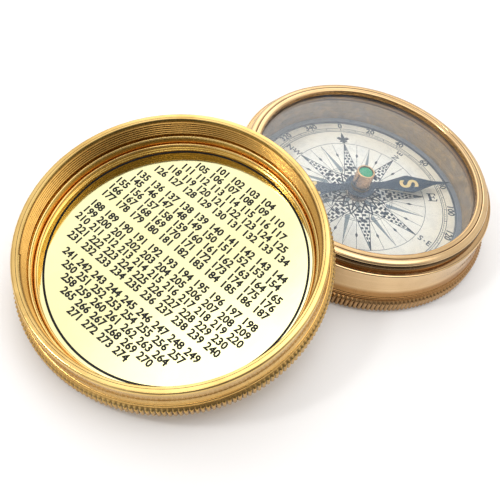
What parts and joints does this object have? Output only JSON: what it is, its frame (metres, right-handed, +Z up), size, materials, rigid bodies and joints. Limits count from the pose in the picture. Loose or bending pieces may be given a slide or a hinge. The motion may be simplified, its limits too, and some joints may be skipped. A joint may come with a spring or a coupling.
{
  "type": "pocket compass",
  "caption": "Round brass pocket compass with a milled base, a glazed printed dial, a free needle and a screw lid that lies mouth up against the case.",
  "frame": {"origin": "middle of the case's flat underside, on the surface that the compass stands on", "axes": "+Z up along the axis of the case; the picture's camera looks along +Y from above, with +X to its right"},
  "size_m": [0.1078, 0.1254, 0.0276],
  "materials": {
    "case_brass": "turned and polished",
    "lid_brass": "turned and polished",
    "plate_brass": "satin",
    "plate_polished": "mirror polish, printed",
    "cap_brass": "polished",
    "dial_card": "printed card",
    "dial_ring": "satin grey",
    "liner": "satin grey-beige",
    "gasket": "matt",
    "glass": "clear flat glass",
    "steel": "polished",
    "blued_steel": "blued, satin",
    "jewel": "green, polished"
  },
  "bodies": {
    "case": {"case_bottom": "case_brass", "case_wall": "case_brass", "dial_plate": "plate_brass", "dial_card": "dial_card", "dial_ring": "dial_ring", "case_liner": "liner", "glass_prop_ring": "case_brass", "glass_gasket": "gasket", "glass": "glass", "bezel_ring": "case_brass", "pivot_boss": "steel", "pivot_pin": "steel"},
    "needle": {"needle_blade": "blued_steel", "needle_washer": "cap_brass", "needle_cap": "cap_brass", "needle_jewel": "jewel"},
    "lid": {"lid_disc": "lid_brass", "lid_wall": "lid_brass", "lid_plate": "plate_polished", "lid_plate_ring": "lid_brass"}
  },
  "joints": [
    {"name": "needle_turn", "type": "hinge", "parent": "case", "child": "needle", "pos_m": [0, 0, 0.01085], "axis": [0, 0, 1], "continuous": true},
    {"name": "lid_lift", "type": "slide", "parent": "case", "child": "lid", "axis": [0, 0, 1], "range_m": [0, 0.05]}
  ]
}
